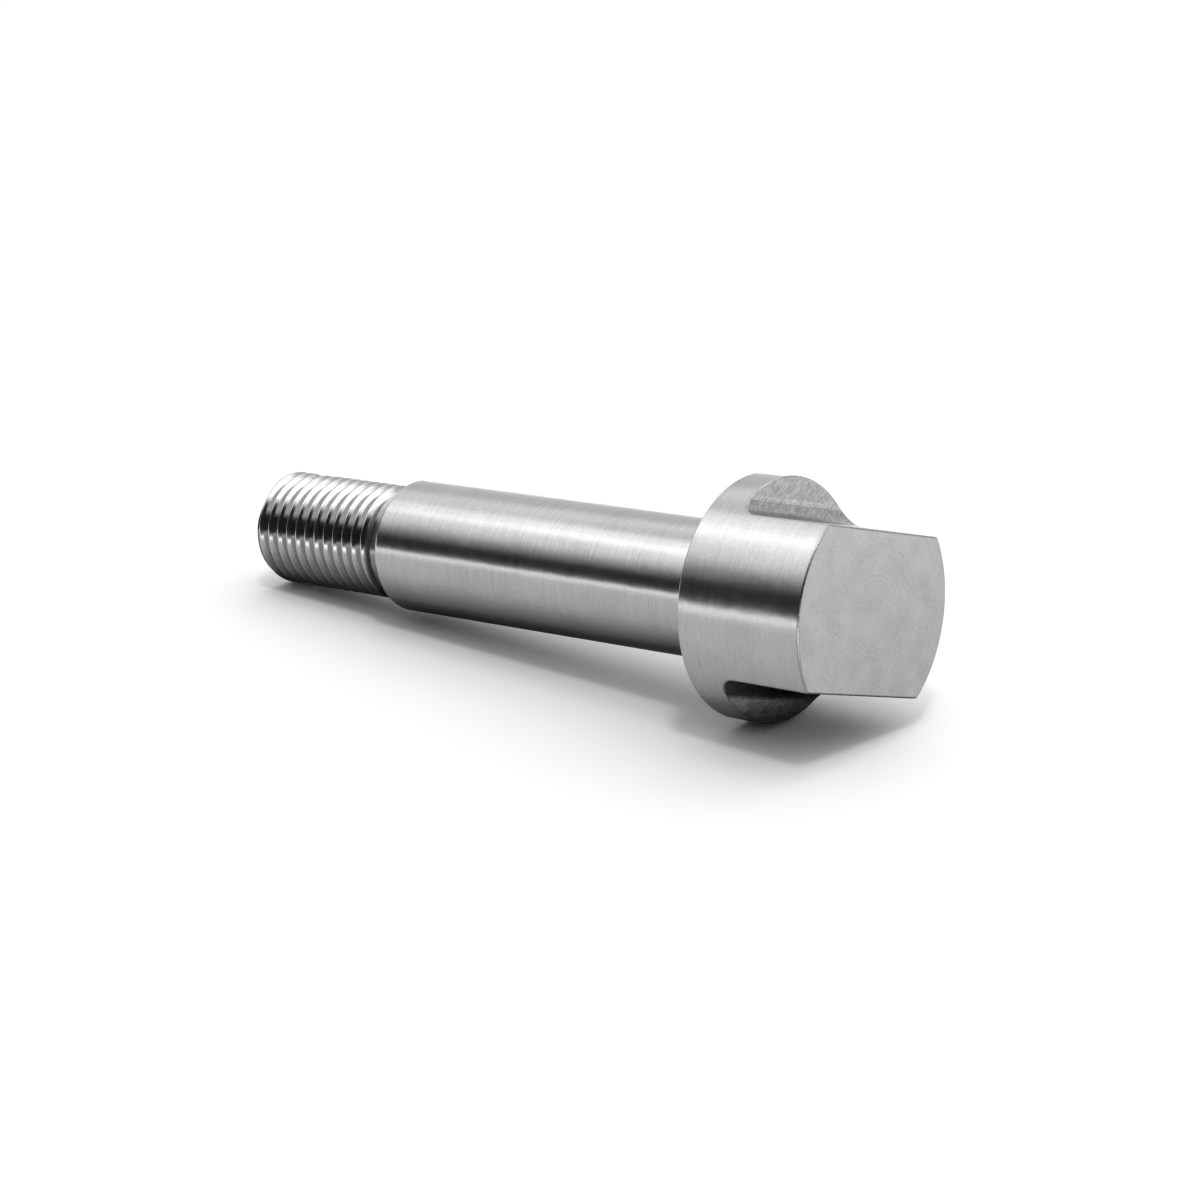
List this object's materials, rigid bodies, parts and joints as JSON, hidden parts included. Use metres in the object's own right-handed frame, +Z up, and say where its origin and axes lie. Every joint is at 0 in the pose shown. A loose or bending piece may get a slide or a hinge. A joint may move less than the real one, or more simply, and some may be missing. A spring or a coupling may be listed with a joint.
{
  "type": "actuator pin",
  "caption": "Headed pivot pin with two flats milled on its round head, a thin round flange, a plain shank with a tapered end, a relief groove and a threaded tip with a cross hole.",
  "frame": {"origin": "on the surface that the pin stands on, at the middle of the thread's end face, which is on the pin's own axis", "axes": "+Z up along the pin's own axis, from the thread's tip to the front face of the head, +Y square to the upper milled flat, +X across the flats. A lying pin would roll, so it stands on its thread's flat end."},
  "size_m": [0.0318, 0.0318, 0.1022],
  "materials": {
    "steel": "turned and milled stainless steel, uncoated, with fine tool marks"
  },
  "bodies": {
    "root": {"actuator_pin": "steel"}
  },
  "joints": []
}
